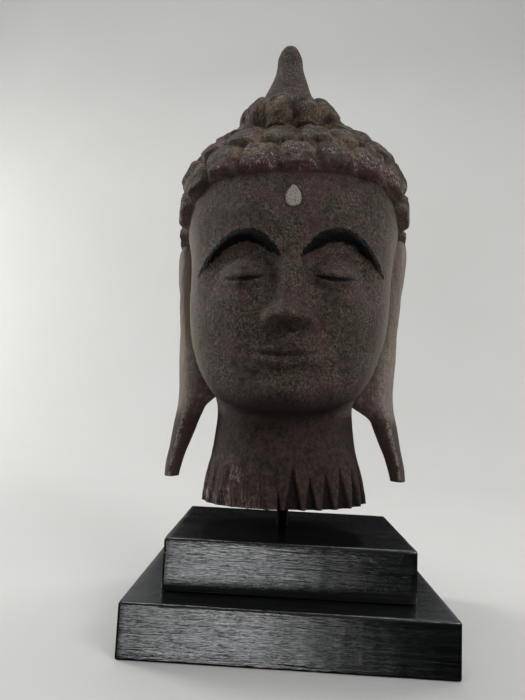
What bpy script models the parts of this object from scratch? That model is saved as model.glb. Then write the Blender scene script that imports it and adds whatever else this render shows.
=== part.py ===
"""A carved head with tight curls, long ears and a spire, held by a short rod on a stepped black plinth.

Metres, +Z up. The origin is the centre of the plinth's underside, and the face looks along -Y.
The plinth and the rod have sizes of their own. The head is a free form: its tables are in
centimetres on a head of the real height, and they all grow or shrink with HEAD_HEIGHT.
"""

import math

import bmesh
import bpy
import numpy as np

# Sizes of the plinth and the rod
LOWER_WIDTH = 0.170
LOWER_DEPTH = 0.126
TIER_HEIGHT = 0.0277
TREAD = 0.0175
EDGE_ROUND = 0.0008
FIT_GAP = 0.0003
ROD_DIAMETER = 0.007
ROD_SHOWING = 0.0155
ROD_IN_NECK = 0.035
ROD_IN_LOWER_TIER = 0.012
ROD_OFFSET = -0.004
ROD_SIDES = 24

# Size and place of the head
HEAD_HEIGHT = 0.3123
HEAD_LEAN = math.radians(-1.5)
HEAD_TURN = math.radians(-1.0)
CARVED_HEIGHT = 31.23
CM = HEAD_HEIGHT / CARVED_HEIGHT

# Fineness of the carving
COLUMNS = 168
ROW_STEP = 0.30
FRONT_CROWDING = 0.42
HEAD_TRIANGLES = 7000

# Rings of the head from the neck's rim to the foot of the top knot, in centimetres above the neck's
# underside and out from its axis: height and reach in front, at the side and behind, then the ring's centre
HEAD_RINGS = (
    (0.00, 3.66, 0.00, 5.08, 0.00, 4.10, 0.20),
    (1.30, 3.58, 1.30, 4.88, 1.30, 4.02, 0.20),
    (3.00, 3.42, 3.00, 4.45, 3.20, 3.95, 0.20),
    (4.70, 3.32, 5.20, 4.22, 5.60, 4.00, 0.30),
    (5.25, 3.75, 6.15, 4.36, 6.60, 4.25, 0.40),
    (5.55, 4.90, 6.85, 4.85, 7.20, 4.75, 0.60),
    (6.40, 5.55, 7.85, 5.45, 8.10, 5.55, 0.80),
    (8.40, 5.72, 9.40, 6.05, 9.60, 6.75, 1.00),
    (9.90, 5.82, 10.70, 6.32, 11.20, 7.70, 1.10),
    (11.60, 5.88, 12.20, 6.45, 12.90, 8.35, 1.20),
    (13.10, 5.86, 13.60, 6.52, 14.50, 8.72, 1.30),
    (14.60, 5.88, 15.10, 6.62, 16.20, 8.85, 1.40),
    (16.80, 5.68, 17.00, 6.95, 18.00, 8.75, 1.50),
    (18.90, 5.02, 18.90, 7.08, 19.80, 8.35, 1.55),
    (20.30, 4.20, 20.40, 6.92, 21.20, 7.70, 1.60),
    (21.60, 3.15, 21.70, 6.32, 22.40, 6.75, 1.70),
    (22.60, 2.10, 22.90, 5.42, 23.40, 5.75, 1.75),
    (23.40, 1.30, 23.90, 4.08, 24.10, 5.05, 1.80),
)

# Rings of the top knot and the spire: height and radius, about the knot's own axis
KNOT_CENTRE = 1.8
KNOT_RINGS = (
    (24.60, 3.20),
    (25.40, 2.92),
    (26.10, 2.30),
    (26.80, 1.88),
    (27.40, 1.62),
    (28.00, 1.38),
    (28.70, 1.13),
    (29.40, 0.95),
    (30.20, 0.85),
    (30.75, 0.66),
    (31.10, 0.42),
)
KNOT_FOOT = len(HEAD_RINGS)
CREASE = KNOT_FOOT - 0.65
CURLS_END = KNOT_FOOT + 1.9
SQUARENESS = 0.035

# How far each height sits to one side of the axis, every SHIFT_STEP centimetres from the neck's underside
SHIFT_STEP = 1.5
LOWER_SHIFTS = (0, 0, 0, 0, 0, 0.03, 0.07, 0.12, 0.17, 0.23, 0.30)
UPPER_SHIFTS = (0.33, 0.34, 0.36, 0.38, 0.42, 0.34, 0.02, -0.08, 0, 0, 0, 0)

# Hair: the hairline's height at angles from the front, then the curls
HAIRLINE = (
    (0, 18.75),
    (25, 18.85),
    (45, 18.6),
    (55, 18.0),
    (62, 17.3),
    (78, 16.3),
    (100, 13.0),
    (125, 10.0),
    (150, 8.4),
    (180, 8.0),
)
HAIR_RISE = 0.36
HAIR_EDGE = 0.34
CURL_WIDTH = 2.20
CURL_ROW = 2.75
CROWN_ROW = 2.15
CURL_CLEARANCE = 1.58
KNOT_CURL_WIDTH = 1.72
KNOT_CURL_ROW = 2.40
CURL_SQUARING = 1.35
CURL_RELIEF = 0.36
CURL_SHOULDER = 0.20
CURL_TIP_OUT = 0.10
HAIRLINE_ROWS = 2
CURL_JITTER = 0.10
SEED = 7

# Notches round the neck's lower edge
NOTCH_PITCH = 1.04
FIRST_NOTCH = 0.58
NOTCH_HALF_WIDTH = 0.45
NOTCH_HEIGHT = 2.1
NOTCH_DEPTH = 0.38
NOTCH_FLATNESS = 2.4
HEIGHT_SPREAD = (0.75, 1.3)
WIDTH_SPREAD = (0.8, 1.2)
SHALLOW_SIDE = 0.40

# The face, on even thirds from chin to hairline, five eye widths across
CHIN = 5.5
FOREHEAD_TOP = 18.7
FACE_WIDTH = 12.7
THIRD = (FOREHEAD_TOP - CHIN) / 3
NOSE_BASE = CHIN + THIRD
BROW_LINE = CHIN + 2 * THIRD
EYE_LINE = BROW_LINE - 0.3 * THIRD
MOUTH_LINE = NOSE_BASE - THIRD / 3
EYE_WIDTH = FACE_WIDTH / 5
MOUTH_HALF_WIDTH = 0.75 * EYE_WIDTH
BROW_START = 0.55
BROW_END = 5.50
BROW_ARCH = 1.55
SOCKET_DEPTH = 0.50
EYE_RISE = 0.58
BRIDGE_RISE = 0.40
NOSE_RISE = 0.84
TIP_RISE = 0.32
UPPER_LIP_RISE = 0.30
LOWER_LIP_RISE = 0.37

# Mounds and hollows of the face: how far out, how far from the middle and how wide, how high and how tall
FACE_MOUNDS = {
    "nose wings": (0.66, 1.06, 0.42, NOSE_BASE + 0.46, 0.46),
    "wing creases": (-0.12, 1.66, 0.22, NOSE_BASE + 0.50, 0.60),
    "nostrils": (-0.16, 0.52, 0.26, NOSE_BASE + 0.02, 0.18),
    "groove above the lips": (-0.07, 0.0, 0.22, NOSE_BASE - 0.72, 0.40),
    "mouth": (0.34, 0.0, 2.2, MOUTH_LINE, 1.35),
    "mouth corners": (-0.09, MOUTH_HALF_WIDTH, 0.26, MOUTH_LINE + 0.1, 0.32),
    "hollow under the lips": (-0.18, 0.0, 1.7, MOUTH_LINE - 1.05, 0.32),
    "chin": (0.45, 0.0, 1.45, CHIN + 1.10, 0.85),
    "cheeks": (0.26, 3.4, 1.7, NOSE_BASE + 1.0, 1.9),
}

# Sections of an ear from the lobe's tip to the top, in centimetres: height, centre out from the axis,
# centre behind the axis, half thickness, half depth and how round the section is
EAR_SECTIONS = (
    (1.22, 7.12, 0.45, 0.46, 0.64, 1.5),
    (2.50, 6.90, 0.45, 0.58, 0.82, 1.4),
    (4.50, 6.40, 0.50, 0.82, 1.02, 1.4),
    (6.00, 6.04, 0.65, 0.96, 1.20, 1.5),
    (7.50, 6.20, 0.85, 0.80, 1.38, 1.8),
    (9.50, 6.50, 1.05, 0.64, 1.58, 2.0),
    (12.00, 6.82, 1.20, 0.58, 1.80, 2.2),
    (14.00, 7.04, 1.30, 0.55, 1.85, 2.2),
    (15.40, 7.10, 1.25, 0.50, 1.50, 2.2),
    (16.00, 7.04, 1.15, 0.36, 0.95, 2.0),
)
EAR_COLUMNS = 18
EAR_ROWS = 26
EAR_FLARE = 0.14
EAR_HOLLOW = 0.30
EAR_ROOT = 1.3
ROOT_BLEND = 1.5
BOWL_MIDDLE = 12.2
BOWL_HALF_HEIGHT = 3.1
BOWL_WIDTH = 0.78
RIDGE_SHARE = 0.6
CHANNEL_SHARE = 0.45
LOBE_FROM = 1.8
LOBE_TO = 9.0

# Each ear's side of the axis, how much higher its top is, and where it starts to join the jaw
EARS = (
    (1, 0.75, 4.8),
    (-1, 0.15, 5.5),
)

# The pale drop in the forehead
DROP_HEIGHT_ON_HEAD = 17.25
DROP_WIDTH = 0.86
DROP_HEIGHT = 1.38
DROP_SUNK = 0.28
DROP_PROUD = 0.07
DROP_DOME = 0.10
DROP_POINTS = 28
RECESS_OUT = 1.0

# Plain colours of the solids
BLACK_PAINT = (0.012, 0.013, 0.013)
BLACK_STEEL = (0.020, 0.020, 0.020)
PALE_INLAY = (0.62, 0.58, 0.50)
DARK_WOOD = (0.11, 0.085, 0.075)

# Heights that follow from the sizes
PLINTH_TOP = 2 * TIER_HEIGHT + FIT_GAP
NECK_FOOT = PLINTH_TOP + ROD_SHOWING


def clear_scene():
    for thing in list(bpy.data.objects):
        bpy.data.objects.remove(thing)


def material(name, colour, roughness, metallic=0.0):
    made = bpy.data.materials.new(name)
    made.use_nodes = True
    shader = made.node_tree.nodes["Principled BSDF"]
    shader.inputs["Base Color"].default_value = (*colour, 1.0)
    shader.inputs["Roughness"].default_value = roughness
    shader.inputs["Metallic"].default_value = metallic
    return made


def add_object(name, mesh, finish=None, helper=False):
    made = bpy.data.objects.new(name, mesh)
    bpy.context.scene.collection.objects.link(made)
    if finish:
        mesh.materials.append(finish)
    if helper:
        made.hide_render = True
        made.display_type = "WIRE"
    return made


def mesh_of(name, bm):
    bmesh.ops.recalc_face_normals(bm, faces=bm.faces)
    mesh = bpy.data.meshes.new(name)
    bm.to_mesh(mesh)
    bm.free()
    return mesh


def add_boolean(thing, other, operation):
    cut = thing.modifiers.new(other.name, "BOOLEAN")
    cut.operation = operation
    cut.object = other


# Curves and steps


def bell(t):
    return np.exp(-np.square(t))


def step(low, high, t):
    share = np.clip((t - low) / (high - low), 0, 1)
    return share * share * (3 - 2 * share)


def along(values, t):
    """A smooth curve through the values of the rings, read at ring number t."""
    values = np.asarray(values, float)
    first = np.clip(np.floor(t).astype(int), 0, len(values) - 2)
    share = t - first
    a = values[np.maximum(first - 1, 0)]
    b = values[first]
    c = values[first + 1]
    d = values[np.minimum(first + 2, len(values) - 1)]
    bend = (2 * a - 5 * b + 4 * c - d) * share + (3 * b - a - 3 * c + d) * share**2
    return b + 0.5 * share * (c - a + bend)


# The bare form of the head


def sway(height):
    """How far the head sits to one side of the axis at a height."""
    return along(LOWER_SHIFTS + UPPER_SHIFTS, height / SHIFT_STEP)


def ring_table():
    """All rings as columns: the head's own, then the knot's round rings in the same terms."""
    rows = list(HEAD_RINGS)
    for height, radius in KNOT_RINGS:
        front, back = radius - KNOT_CENTRE, radius + KNOT_CENTRE
        rows.append((height, front, height, radius, height, back, KNOT_CENTRE))
    return np.array(rows).T


def bare_form(t, angle):
    """Points of the head without hair or face, for ring numbers t and angles from the front."""
    table = ring_table()
    front_h, front, side_h, side, back_h, back, centre = (along(column, t) for column in table)
    ahead, across = np.cos(angle), np.sin(angle)
    to_front, to_back = np.clip(ahead, 0, 1) ** 2, np.clip(ahead, -1, 0) ** 2
    height = front_h * to_front + side_h * across**2 + back_h * to_back
    depth = np.where(ahead > 0, front + centre, back - centre)
    square = 1 + SQUARENESS * np.sin(2 * angle) ** 2 * (1 - step(KNOT_FOOT - 3, KNOT_FOOT, t))
    x = side * across * square + sway(height)
    y = centre - depth * ahead * square
    return np.stack(np.broadcast_arrays(x, y, height), axis=-1)


def ring_numbers():
    """Ring numbers of the rows, spaced so that a row is about ROW_STEP high where it is highest."""
    count = len(HEAD_RINGS) + len(KNOT_RINGS)
    numbers = []
    for ring in range(count - 1):
        ends = bare_form(np.array([[ring], [ring + 1.0]]), np.array([[0, math.pi / 2, math.pi]]))
        longest = np.linalg.norm(ends[1] - ends[0], axis=-1).max()
        parts = math.ceil(longest / ROW_STEP)
        numbers += [ring + part / parts for part in range(parts)]
    return np.array(numbers + [count - 1.0])


def column_angles():
    """Angles of the columns, closer together over the face."""
    even = np.linspace(-math.pi, math.pi, COLUMNS, endpoint=False)
    return even - FRONT_CROWDING * np.sin(even)


def arc_lengths(points):
    """Length along each column, from its first row up."""
    steps = np.linalg.norm(np.diff(points, axis=0), axis=-1)
    return np.concatenate([np.zeros((1, points.shape[1])), np.cumsum(steps, axis=0)])


def outward(points):
    """The surface's outward direction at each point of the grid."""
    up = np.gradient(points, axis=0)
    round_ = np.roll(points, -1, axis=1) - np.roll(points, 1, axis=1)
    normal = np.cross(round_, up)
    return normal / np.maximum(np.linalg.norm(normal, axis=-1, keepdims=True), 1e-9)


# Hair


def hairline_height(angle):
    degrees, heights = np.array(HAIRLINE, float).T
    return np.interp(np.degrees(np.abs(angle)), degrees, heights)


def lengths_at_hairline(points, lengths, angles):
    """Each column's length up to the hairline."""
    heights = hairline_height(angles)
    return np.array([np.interp(heights[i], points[:, i, 2], lengths[:, i]) for i in range(len(angles))])


def loop_at(points, lengths, targets):
    """The closed line across the columns at the given length up each of them."""
    line = np.empty((points.shape[1], 3))
    for i in range(points.shape[1]):
        for axis in range(3):
            line[i, axis] = np.interp(targets[i], lengths[:, i], points[:, i, axis])
    return line


def spread(line, spacing, shift):
    """Points at even distances along a closed line, shifted by that share of one from its front."""
    closed = np.vstack([line, line[:1]])
    along_line = np.concatenate([[0], np.cumsum(np.linalg.norm(np.diff(closed, axis=0), axis=1))])
    count = max(3, round(along_line[-1] / spacing))
    places = ((np.arange(count) + shift) / count + 0.5) % 1 * along_line[-1]
    return np.stack([np.interp(places, along_line, closed[:, axis]) for axis in range(3)], axis=1)


def curl_centres():
    """Rows of curls that follow the hairline, rings of curls round the top knot, and the knot's own."""
    angles = np.linspace(-math.pi, math.pi, 360, endpoint=False)
    t = np.linspace(0, CURLS_END, 600)[:, None]
    points = bare_form(t, angles[None, :])
    lengths = arc_lengths(points)
    hairline = lengths_at_hairline(points, lengths, angles)
    foot = np.array([np.interp(CREASE, t[:, 0], lengths[:, i]) for i in range(len(angles))])
    end = lengths[-1]
    centres = []
    for row in range(HAIRLINE_ROWS):
        targets = np.minimum(hairline + (row + 0.5) * CURL_ROW, foot - CURL_ROW / 2)
        line = loop_at(points, lengths, targets)
        centres += list(spread(line, CURL_WIDTH, 0.5 * (row % 2)))
    ring = 0
    while (ring + 0.5) * CROWN_ROW < (foot - hairline).max():
        targets = foot - (ring + 0.5) * CROWN_ROW
        inside = targets > hairline + HAIRLINE_ROWS * CURL_ROW
        line = loop_at(points, lengths, targets)
        for place in spread(line, CURL_WIDTH, 0.5 * (ring % 2)):
            nearest = np.linalg.norm(line - place, axis=1).argmin()
            clear = np.linalg.norm(np.array(centres) - place, axis=1).min()
            if inside[nearest] and clear > CURL_CLEARANCE:
                centres.append(place)
        ring += 1
    rows = round((end - foot).mean() / KNOT_CURL_ROW)
    for row in range(rows):
        line = loop_at(points, lengths, foot + (end - foot) * (row + 0.5) / rows)
        centres += list(spread(line, KNOT_CURL_WIDTH, 0.5 * ((row + 1) % 2)))
    centres = np.array(centres)
    return centres + np.random.default_rng(SEED).normal(0, CURL_JITTER / 2, centres.shape)


def hair_relief(points, above_hairline, below_end):
    """How far the hair stands out: a rise at the hairline, and a rounded knob for each curl."""
    squaring = np.array([1, 1, CURL_SQUARING])
    centres = curl_centres() * squaring
    flat = points.reshape(-1, 3) * squaring
    squares = np.square(flat).sum(1)[:, None] + np.square(centres).sum(1) - 2 * flat @ centres.T
    distances = np.sqrt(np.maximum(squares, 0))
    nearest = distances.argmin(1)
    two = np.partition(distances, 1, axis=1)[:, :2]
    shape = points.shape[:2]
    border = ((two[:, 1] - two[:, 0]) / 2).reshape(shape)
    border = np.minimum(border, np.minimum(above_hairline, below_end))
    bigger = np.random.default_rng(SEED + 1).uniform(0.85, 1.15, len(centres))[nearest].reshape(shape)
    under = (centres[nearest, 2] - flat[:, 2]).reshape(shape)
    knob = bigger * (1 - bell(np.maximum(border, 0) / CURL_SHOULDER)) * (1 + CURL_TIP_OUT * under)
    inside = step(0, HAIR_EDGE, above_hairline) * step(0, HAIR_EDGE, below_end)
    return inside * (HAIR_RISE + CURL_RELIEF * (knob - 0.5)) * (above_hairline > 0) * (below_end > 0)


# Face


def brow_height(side):
    """Height of the brow's arch at a distance from the face's middle line."""
    share = np.clip((side - BROW_START) / (BROW_END - BROW_START), 0, 1)
    return BROW_LINE - 0.5 + BROW_ARCH * np.sin(math.pi * share**0.92) - 0.5 * share


def eye_slit(side):
    """Height of the line between the lids, and how far it is open, at a distance from the middle line."""
    across = np.clip(1 - ((side - EYE_WIDTH) / EYE_WIDTH * 1.9) ** 2, 0, 1)
    return EYE_LINE - 0.10 - 0.36 * across, across**0.5


def face_relief(x, height):
    """How far the features stand out of the plain front, in centimetres."""
    side = np.abs(x)
    from_eye = side - EYE_WIDTH
    under_brow = brow_height(side) - height
    # Sockets that fall away under an arched edge
    wide = step(0.5, 1.4, side) * (1 - step(4.0, 5.6, side))
    relief = -SOCKET_DEPTH * wide * step(-0.10, 0.60, under_brow) * (1 - step(1.2, 3.6, under_brow))
    relief += 0.12 * wide * bell(under_brow / 0.36)
    # Lowered lids over a round eye, with a crease above and a narrow slit
    reach = np.hypot(from_eye / 1.55, (height - EYE_LINE) / 1.00)
    relief += EYE_RISE * np.clip(1 - reach**2, 0, 1) ** 1.2
    relief -= 0.06 * bell((reach - 1.04) / 0.10) * step(0, 0.5, height - EYE_LINE)
    slit, opened = eye_slit(side)
    relief -= 0.15 * opened * bell((height - slit) / 0.12)
    relief += 0.09 * opened * bell((height - slit - 0.22) / 0.16)
    relief += 0.05 * opened * bell((height - slit + 0.22) / 0.14)
    # Nose: a bridge that widens and rises downwards, and its tip
    down = np.clip((BROW_LINE + 0.1 - height) / (BROW_LINE + 0.1 - NOSE_BASE), 0, 1.2)
    width = 0.56 + 0.38 * down
    under = step(-0.12, 0.42, height - NOSE_BASE)
    bridge = (BRIDGE_RISE + NOSE_RISE * down**1.25) * np.exp(-((side / width) ** 2.8))
    relief += bridge * under * step(0, 0.3, down)
    relief += TIP_RISE * bell(x / 0.64) * bell((height - NOSE_BASE - 0.60) / 0.52) * under
    # Two lips and the line between them
    outer = np.clip(side / MOUTH_HALF_WIDTH, 0, 1) ** 2
    taper = (1 - outer) ** 0.8
    line = MOUTH_LINE + 0.14 * outer - 0.04 * bell(side / 0.35)
    upper = 0.26 + 0.05 * bell((side - 0.45) / 0.30) - 0.14 * outer
    lower = 0.40 - 0.22 * outer
    relief += UPPER_LIP_RISE * taper * bell((height - line - upper) / 0.22)
    relief += LOWER_LIP_RISE * taper * bell((height - line + lower) / 0.29)
    relief -= 0.20 * taper**0.6 * bell((height - line) / 0.10)
    for out, at, spread_out, level, tall in FACE_MOUNDS.values():
        relief += out * bell((side - at) / spread_out) * bell((height - level) / tall)
    return relief


# Neck


def notch_relief(points, angles):
    """V-shaped notches that widen towards the neck's underside, shallower on one side."""
    rim = bare_form(np.zeros((1, 1)), np.linspace(-math.pi, math.pi, 721)[None, :])[0]
    lengths = np.concatenate([[0], np.cumsum(np.linalg.norm(np.diff(rim, axis=0), axis=1))])
    start = np.interp(FIRST_NOTCH, rim[180:541, 0], lengths[180:541])
    count = round(lengths[-1] / NOTCH_PITCH)
    pitch = lengths[-1] / count
    round_rim = np.interp(angles, np.linspace(-math.pi, math.pi, 721), lengths) - start
    number = np.round(round_rim / pitch).astype(int)
    offset = np.abs(round_rim - number * pitch)
    draw = np.random.default_rng(SEED + 2)
    top = NOTCH_HEIGHT * draw.uniform(*HEIGHT_SPREAD, count)[number % count]
    wide = NOTCH_HALF_WIDTH * draw.uniform(*WIDTH_SPREAD, count)[number % count]
    deep = NOTCH_DEPTH * np.where(np.sin(angles) < -0.05, SHALLOW_SIDE, 1.0)
    left = np.clip(1 - points[..., 2] / top, 0, 1)
    flat = np.clip(NOTCH_FLATNESS * (1 - offset / np.maximum(wide * left, 1e-6)), 0, 1)
    return -deep * left**0.7 * flat


def carved_grid():
    """The head's points, row by row from the neck's rim to the last ring under the tip."""
    t = ring_numbers()
    angles = column_angles()
    points = bare_form(t[:, None], angles[None, :])
    lengths = arc_lengths(points)
    above_hairline = lengths - lengths_at_hairline(points, lengths, angles)
    end = np.array([np.interp(CURLS_END, t, lengths[:, i]) for i in range(len(angles))])
    hair = hair_relief(points, above_hairline, end - lengths)
    frontal = step(0.05, 0.45, np.cos(angles)) * (t[:, None] > 3)
    bare = 1 - step(0, 0.3, above_hairline)
    face = face_relief(points[..., 0] - sway(points[..., 2]), points[..., 2]) * frontal * bare
    notches = notch_relief(points, angles)
    facing = outward(points)
    points = points + facing * (hair + notches)[..., None]
    points[..., 1] -= face
    return points


def sphere_rows(bm, rows):
    """Row and column number of each vertex of a round sphere of that many rows."""
    places = []
    for vert in bm.verts:
        row = round(rows * math.acos(max(-1.0, min(1.0, -vert.co.z))) / math.pi)
        column = round(COLUMNS * math.atan2(vert.co.x, -vert.co.y) / (2 * math.pi)) % COLUMNS
        places.append((row, column))
    return places


def head_form():
    """A sphere whose rows are moved onto the carving: the lower pole is the underside's middle."""
    grid = carved_grid()
    rows = len(grid) + 1
    bm = bmesh.new()
    bmesh.ops.create_uvsphere(bm, u_segments=COLUMNS, v_segments=rows, radius=1.0)
    places = sphere_rows(bm, rows)
    half = COLUMNS // 2
    for vert, (row, column) in zip(bm.verts, places):
        if row == 0:
            vert.co = (0, HEAD_RINGS[0][-1], 0)
        elif row == rows:
            vert.co = (0, KNOT_CENTRE, CARVED_HEIGHT)
        else:
            vert.co = grid[row - 1, (column + half) % COLUMNS]
    bmesh.ops.scale(bm, vec=(CM, CM, CM), verts=bm.verts)
    return mesh_of("head", bm)


# Ears


def ear_grid(rise, root):
    """An ear's points, section by section from the lobe's tip up."""
    table = np.array(EAR_SECTIONS).T
    t = np.linspace(0, len(EAR_SECTIONS) - 1, EAR_ROWS)[:, None]
    height, out, behind, thick, deep, roundness = (along(column, t) for column in table)
    angle = np.linspace(0, 2 * math.pi, EAR_COLUMNS, endpoint=False)[None, :]
    outer, rear = np.cos(angle), np.sin(angle)
    rooted = 1 + EAR_ROOT * step(root, root + ROOT_BLEND, height) * step(0, 0.3, -outer)
    x = rooted * thick * np.sign(outer) * np.abs(outer) ** (2 / roundness)
    y = deep * np.sign(rear) * np.abs(rear) ** (2 / roundness)
    x += EAR_FLARE * y * step(6, 9, height)
    # A hollow inside the rim, with a ridge down its middle, and a shallow channel down the lobe
    across = y / deep
    up = (height - BOWL_MIDDLE) / BOWL_HALF_HEIGHT
    bowl = 1 - step(0.55, 1.0, np.hypot(across / BOWL_WIDTH, up))
    ridge = RIDGE_SHARE * bell((across - 0.15) / 0.22) * bell((up + 0.2) / 0.6)
    channel = CHANNEL_SHARE * bell(across / 0.35)
    channel = channel * step(LOBE_FROM, LOBE_FROM + 1.4, height) * (1 - step(LOBE_TO - 2.5, LOBE_TO, height))
    x -= EAR_HOLLOW * step(0.2, 0.7, outer) * (bowl * (1 - ridge) + channel)
    height = height + rise * step(BOWL_MIDDLE, EAR_SECTIONS[-1][0], height)
    return np.stack(np.broadcast_arrays(out + x, behind + y, height), axis=-1)


def ears_form():
    """Both ears as closed lofts."""
    bm = bmesh.new()
    for mirror, rise, root in EARS:
        loops = []
        for section in ear_grid(rise, root):
            places = [((mirror * x + sway(z)) * CM, y * CM, z * CM) for x, y, z in section]
            verts = [bm.verts.new(place) for place in places]
            edges = [bm.edges.new((verts[i - 1], verts[i])) for i in range(EAR_COLUMNS)]
            loops.append((verts, edges))
        for (_, lower), (_, upper) in zip(loops, loops[1:]):
            bmesh.ops.bridge_loops(bm, edges=lower + upper)
        bm.faces.new(loops[0][0])
        bm.faces.new(loops[-1][0])
    return mesh_of("ears", bm)


# The drop in the forehead


def drop_outline(grow=0.0):
    """A drop's outline, pointed at the top, made larger all round by grow."""
    angle = np.linspace(0, 2 * math.pi, DROP_POINTS, endpoint=False)
    x = (DROP_WIDTH / 2) * np.sin(angle) * (1 - 0.32 * np.cos(angle))
    z = (DROP_HEIGHT / 2) * np.cos(angle)
    x *= np.where(z > 0, np.sqrt(np.clip(1 - (2 * z / DROP_HEIGHT) ** 2 * 0.35, 0, 1)), 1)
    outline = np.stack([x, z], axis=1)
    return outline * (1 + 2 * grow / np.array([DROP_WIDTH, DROP_HEIGHT]))


def drop_form(name, grow, back, front, dome):
    """The drop as a plate from back to front along -Y, with a domed face."""
    bm = bmesh.new()
    verts = [bm.verts.new((x * CM, back * CM, z * CM)) for x, z in drop_outline(grow)]
    face = bm.faces.new(verts)
    grown = bmesh.ops.extrude_face_region(bm, geom=[face])
    moved = [v for v in grown["geom"] if isinstance(v, bmesh.types.BMVert)]
    bmesh.ops.translate(bm, vec=(0, (front - back) * CM, 0), verts=moved)
    cap = [f for f in grown["geom"] if isinstance(f, bmesh.types.BMFace)]
    if dome:
        bmesh.ops.inset_region(bm, faces=cap, thickness=0.2 * DROP_WIDTH * CM, depth=0.7 * dome * CM)
        middle = bmesh.ops.poke(bm, faces=cap)["verts"]
        bmesh.ops.translate(bm, vec=(0, -0.3 * dome * CM, 0), verts=middle)
    return mesh_of(name, bm)


def forehead_place():
    """Where the forehead's surface is at the drop, and how far it leans back, on the head."""
    t = ring_numbers()
    line = bare_form(t, np.zeros(1))
    line[:, 1] -= face_relief(np.zeros(len(t)), line[:, 2])
    rises = line[:, 2] > CHIN + 1
    heights = np.array([-0.5, 0, 0.5]) * DROP_HEIGHT + DROP_HEIGHT_ON_HEAD
    y = np.interp(heights, line[rises, 2], line[rises, 1])
    x = np.interp(heights[1], line[rises, 2], line[rises, 0])
    return (x, y[1], heights[1]), math.atan2(y[2] - y[0], DROP_HEIGHT)


# Plinth and rod


def block(name, width, depth, height, finish):
    bm = bmesh.new()
    bmesh.ops.create_cube(bm, size=1.0)
    bmesh.ops.scale(bm, vec=(width, depth, height), verts=bm.verts)
    made = add_object(name, mesh_of(name, bm), finish)
    edges = made.modifiers.new("eased edges", "BEVEL")
    edges.width = EDGE_ROUND
    edges.segments = 2
    edges.limit_method = "ANGLE"
    return made


def cylinder(name, diameter, low, high, finish=None):
    """An upright round bar at the rod's place, from low to high."""
    bm = bmesh.new()
    size = {"radius1": diameter / 2, "radius2": diameter / 2, "depth": high - low}
    bmesh.ops.create_cone(bm, cap_ends=True, segments=ROD_SIDES, **size)
    made = add_object(name, mesh_of(name, bm), finish, helper=finish is None)
    made.location = (ROD_OFFSET, 0, (low + high) / 2)
    return made


def build_plinth(finish):
    bore = ROD_DIAMETER + 2 * FIT_GAP
    lower = block("plinth_lower", LOWER_WIDTH, LOWER_DEPTH, TIER_HEIGHT, finish)
    lower.location.z = TIER_HEIGHT / 2
    upper_size = (LOWER_WIDTH - 2 * TREAD, LOWER_DEPTH - 2 * TREAD, TIER_HEIGHT)
    upper = block("plinth_upper", *upper_size, finish)
    upper.location.z = TIER_HEIGHT * 1.5 + FIT_GAP
    low = TIER_HEIGHT - ROD_IN_LOWER_TIER - FIT_GAP
    add_boolean(lower, cylinder("lower_bore", bore, low, PLINTH_TOP), "DIFFERENCE")
    add_boolean(upper, cylinder("upper_bore", bore, TIER_HEIGHT / 2, 2 * PLINTH_TOP), "DIFFERENCE")


def build_rod(finish):
    low, high = TIER_HEIGHT - ROD_IN_LOWER_TIER, NECK_FOOT + ROD_IN_NECK
    cylinder("rod", ROD_DIAMETER, low, high, finish)


def build_head(finish, drop_finish):
    head = add_object("head", head_form(), finish)
    stand_on(head)
    simpler = head.modifiers.new("fewer faces", "DECIMATE")
    simpler.ratio = HEAD_TRIANGLES / (2 * len(head.data.polygons))
    ears = add_object("ears", ears_form(), helper=True)
    stand_on(ears)
    add_boolean(head, ears, "UNION")
    low, high = NECK_FOOT - ROD_SHOWING / 2, NECK_FOOT + ROD_IN_NECK + FIT_GAP
    add_boolean(head, cylinder("neck_bore", ROD_DIAMETER + 2 * FIT_GAP, low, high), "DIFFERENCE")
    place, lean = forehead_place()
    gap = FIT_GAP / CM
    recess_mesh = drop_form("drop_recess", gap, DROP_SUNK + gap, -RECESS_OUT, 0)
    drop_mesh = drop_form("forehead_drop", 0.0, DROP_SUNK, -DROP_PROUD, DROP_DOME)
    recess = add_object("drop_recess", recess_mesh, helper=True)
    drop = add_object("forehead_drop", drop_mesh, drop_finish)
    for thing in (recess, drop):
        thing.parent = head
        thing.location = np.array(place) * CM
        thing.rotation_euler.x = -lean
    add_boolean(head, recess, "DIFFERENCE")


def stand_on(thing):
    """Puts a form on the rod, leaning and turned as the head is."""
    thing.location = (ROD_OFFSET, 0, NECK_FOOT)
    thing.rotation_euler = (0, HEAD_LEAN, HEAD_TURN)


def main():
    clear_scene()
    build_plinth(material("black paint", BLACK_PAINT, 0.35))
    build_rod(material("black steel", BLACK_STEEL, 0.4, 0.8))
    build_head(material("carved wood", DARK_WOOD, 0.75), material("pale inlay", PALE_INLAY, 0.5))


main()
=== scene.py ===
"""The looks of a carved head on a stepped black stand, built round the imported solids.

Metres, +Z up, and the face looks along -Y. The head is a free form: its tables are in centimetres
on the head itself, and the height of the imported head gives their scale.
"""

import math

import bmesh
import bpy
import numpy as np
from mathutils import Euler, Matrix, Vector
from mathutils.kdtree import KDTree


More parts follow.
